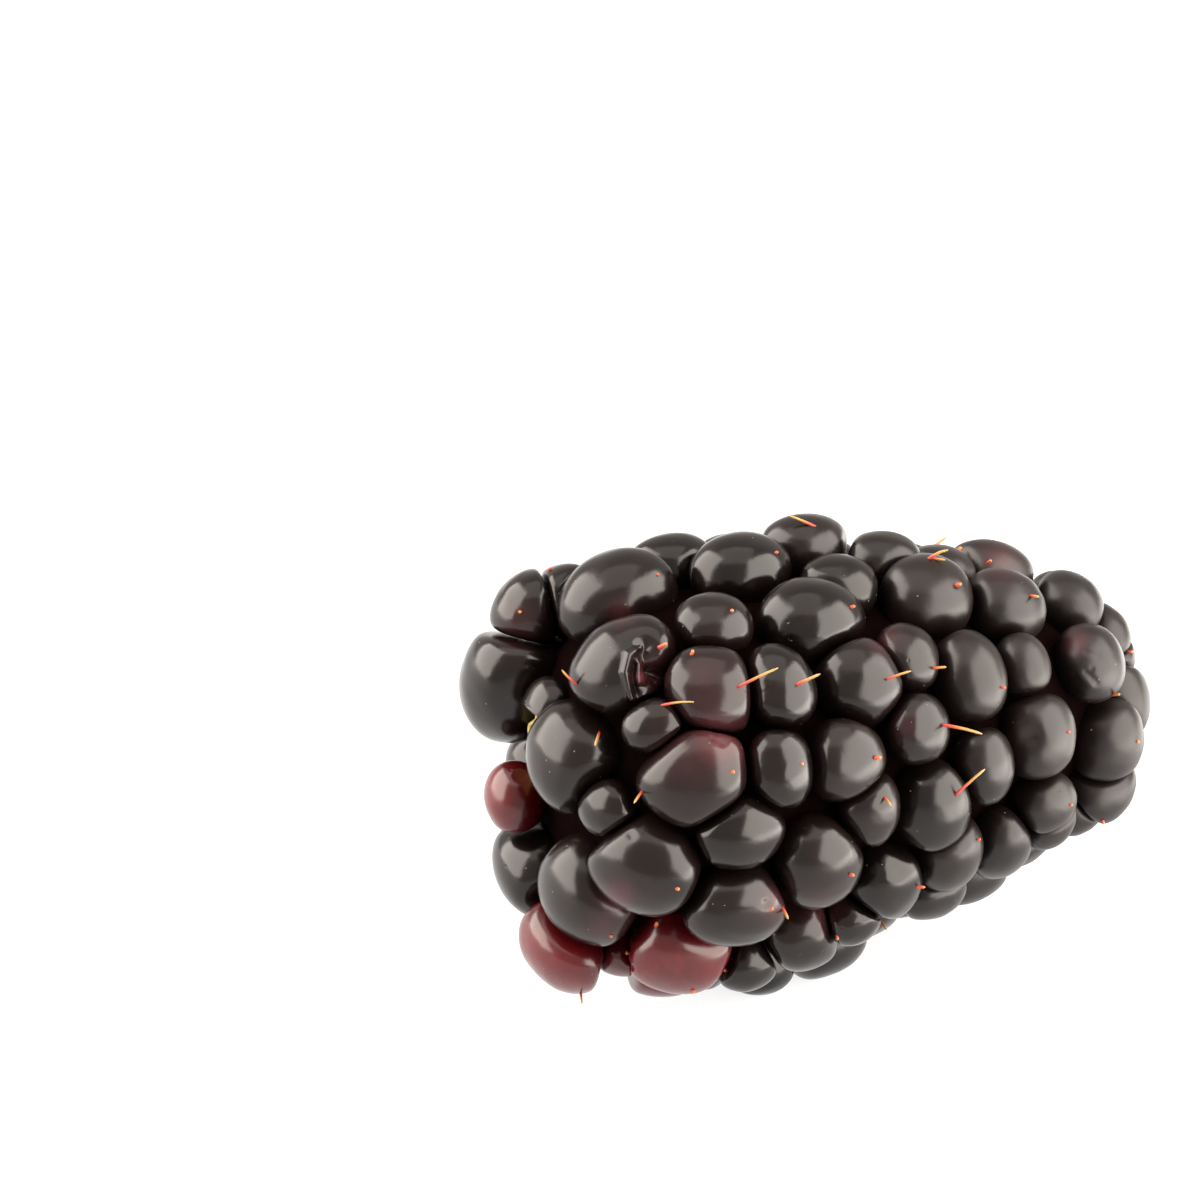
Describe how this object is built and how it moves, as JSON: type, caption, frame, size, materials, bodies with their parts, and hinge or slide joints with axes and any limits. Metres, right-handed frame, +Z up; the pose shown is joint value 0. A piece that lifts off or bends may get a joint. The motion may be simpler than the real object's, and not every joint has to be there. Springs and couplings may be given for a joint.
{
  "type": "bramble berry",
  "caption": "Ripe bramble berry lying on its side: pressed glossy drupelets, a few of them red, and a hollow stem end with its pale receptacle.",
  "frame": {"origin": "on the surface the berry lies on, under the middle of its box", "axes": "+Z up, +X along the berry from the stem end to the tip, +Y to its left side"},
  "size_m": [0.0345, 0.0227, 0.0228],
  "materials": {
    "black_skin": "glossy near-black fruit skin with a purple cast",
    "red_skin": "glossy deep red fruit skin, a little translucent",
    "pale_flesh": "dull yellow-green plant flesh, browned where it tore"
  },
  "bodies": {
    "root": {"black_drupelets": "black_skin", "red_drupelets": "red_skin", "red_shoulder_drupelet": "red_skin", "receptacle": "pale_flesh"}
  },
  "joints": []
}
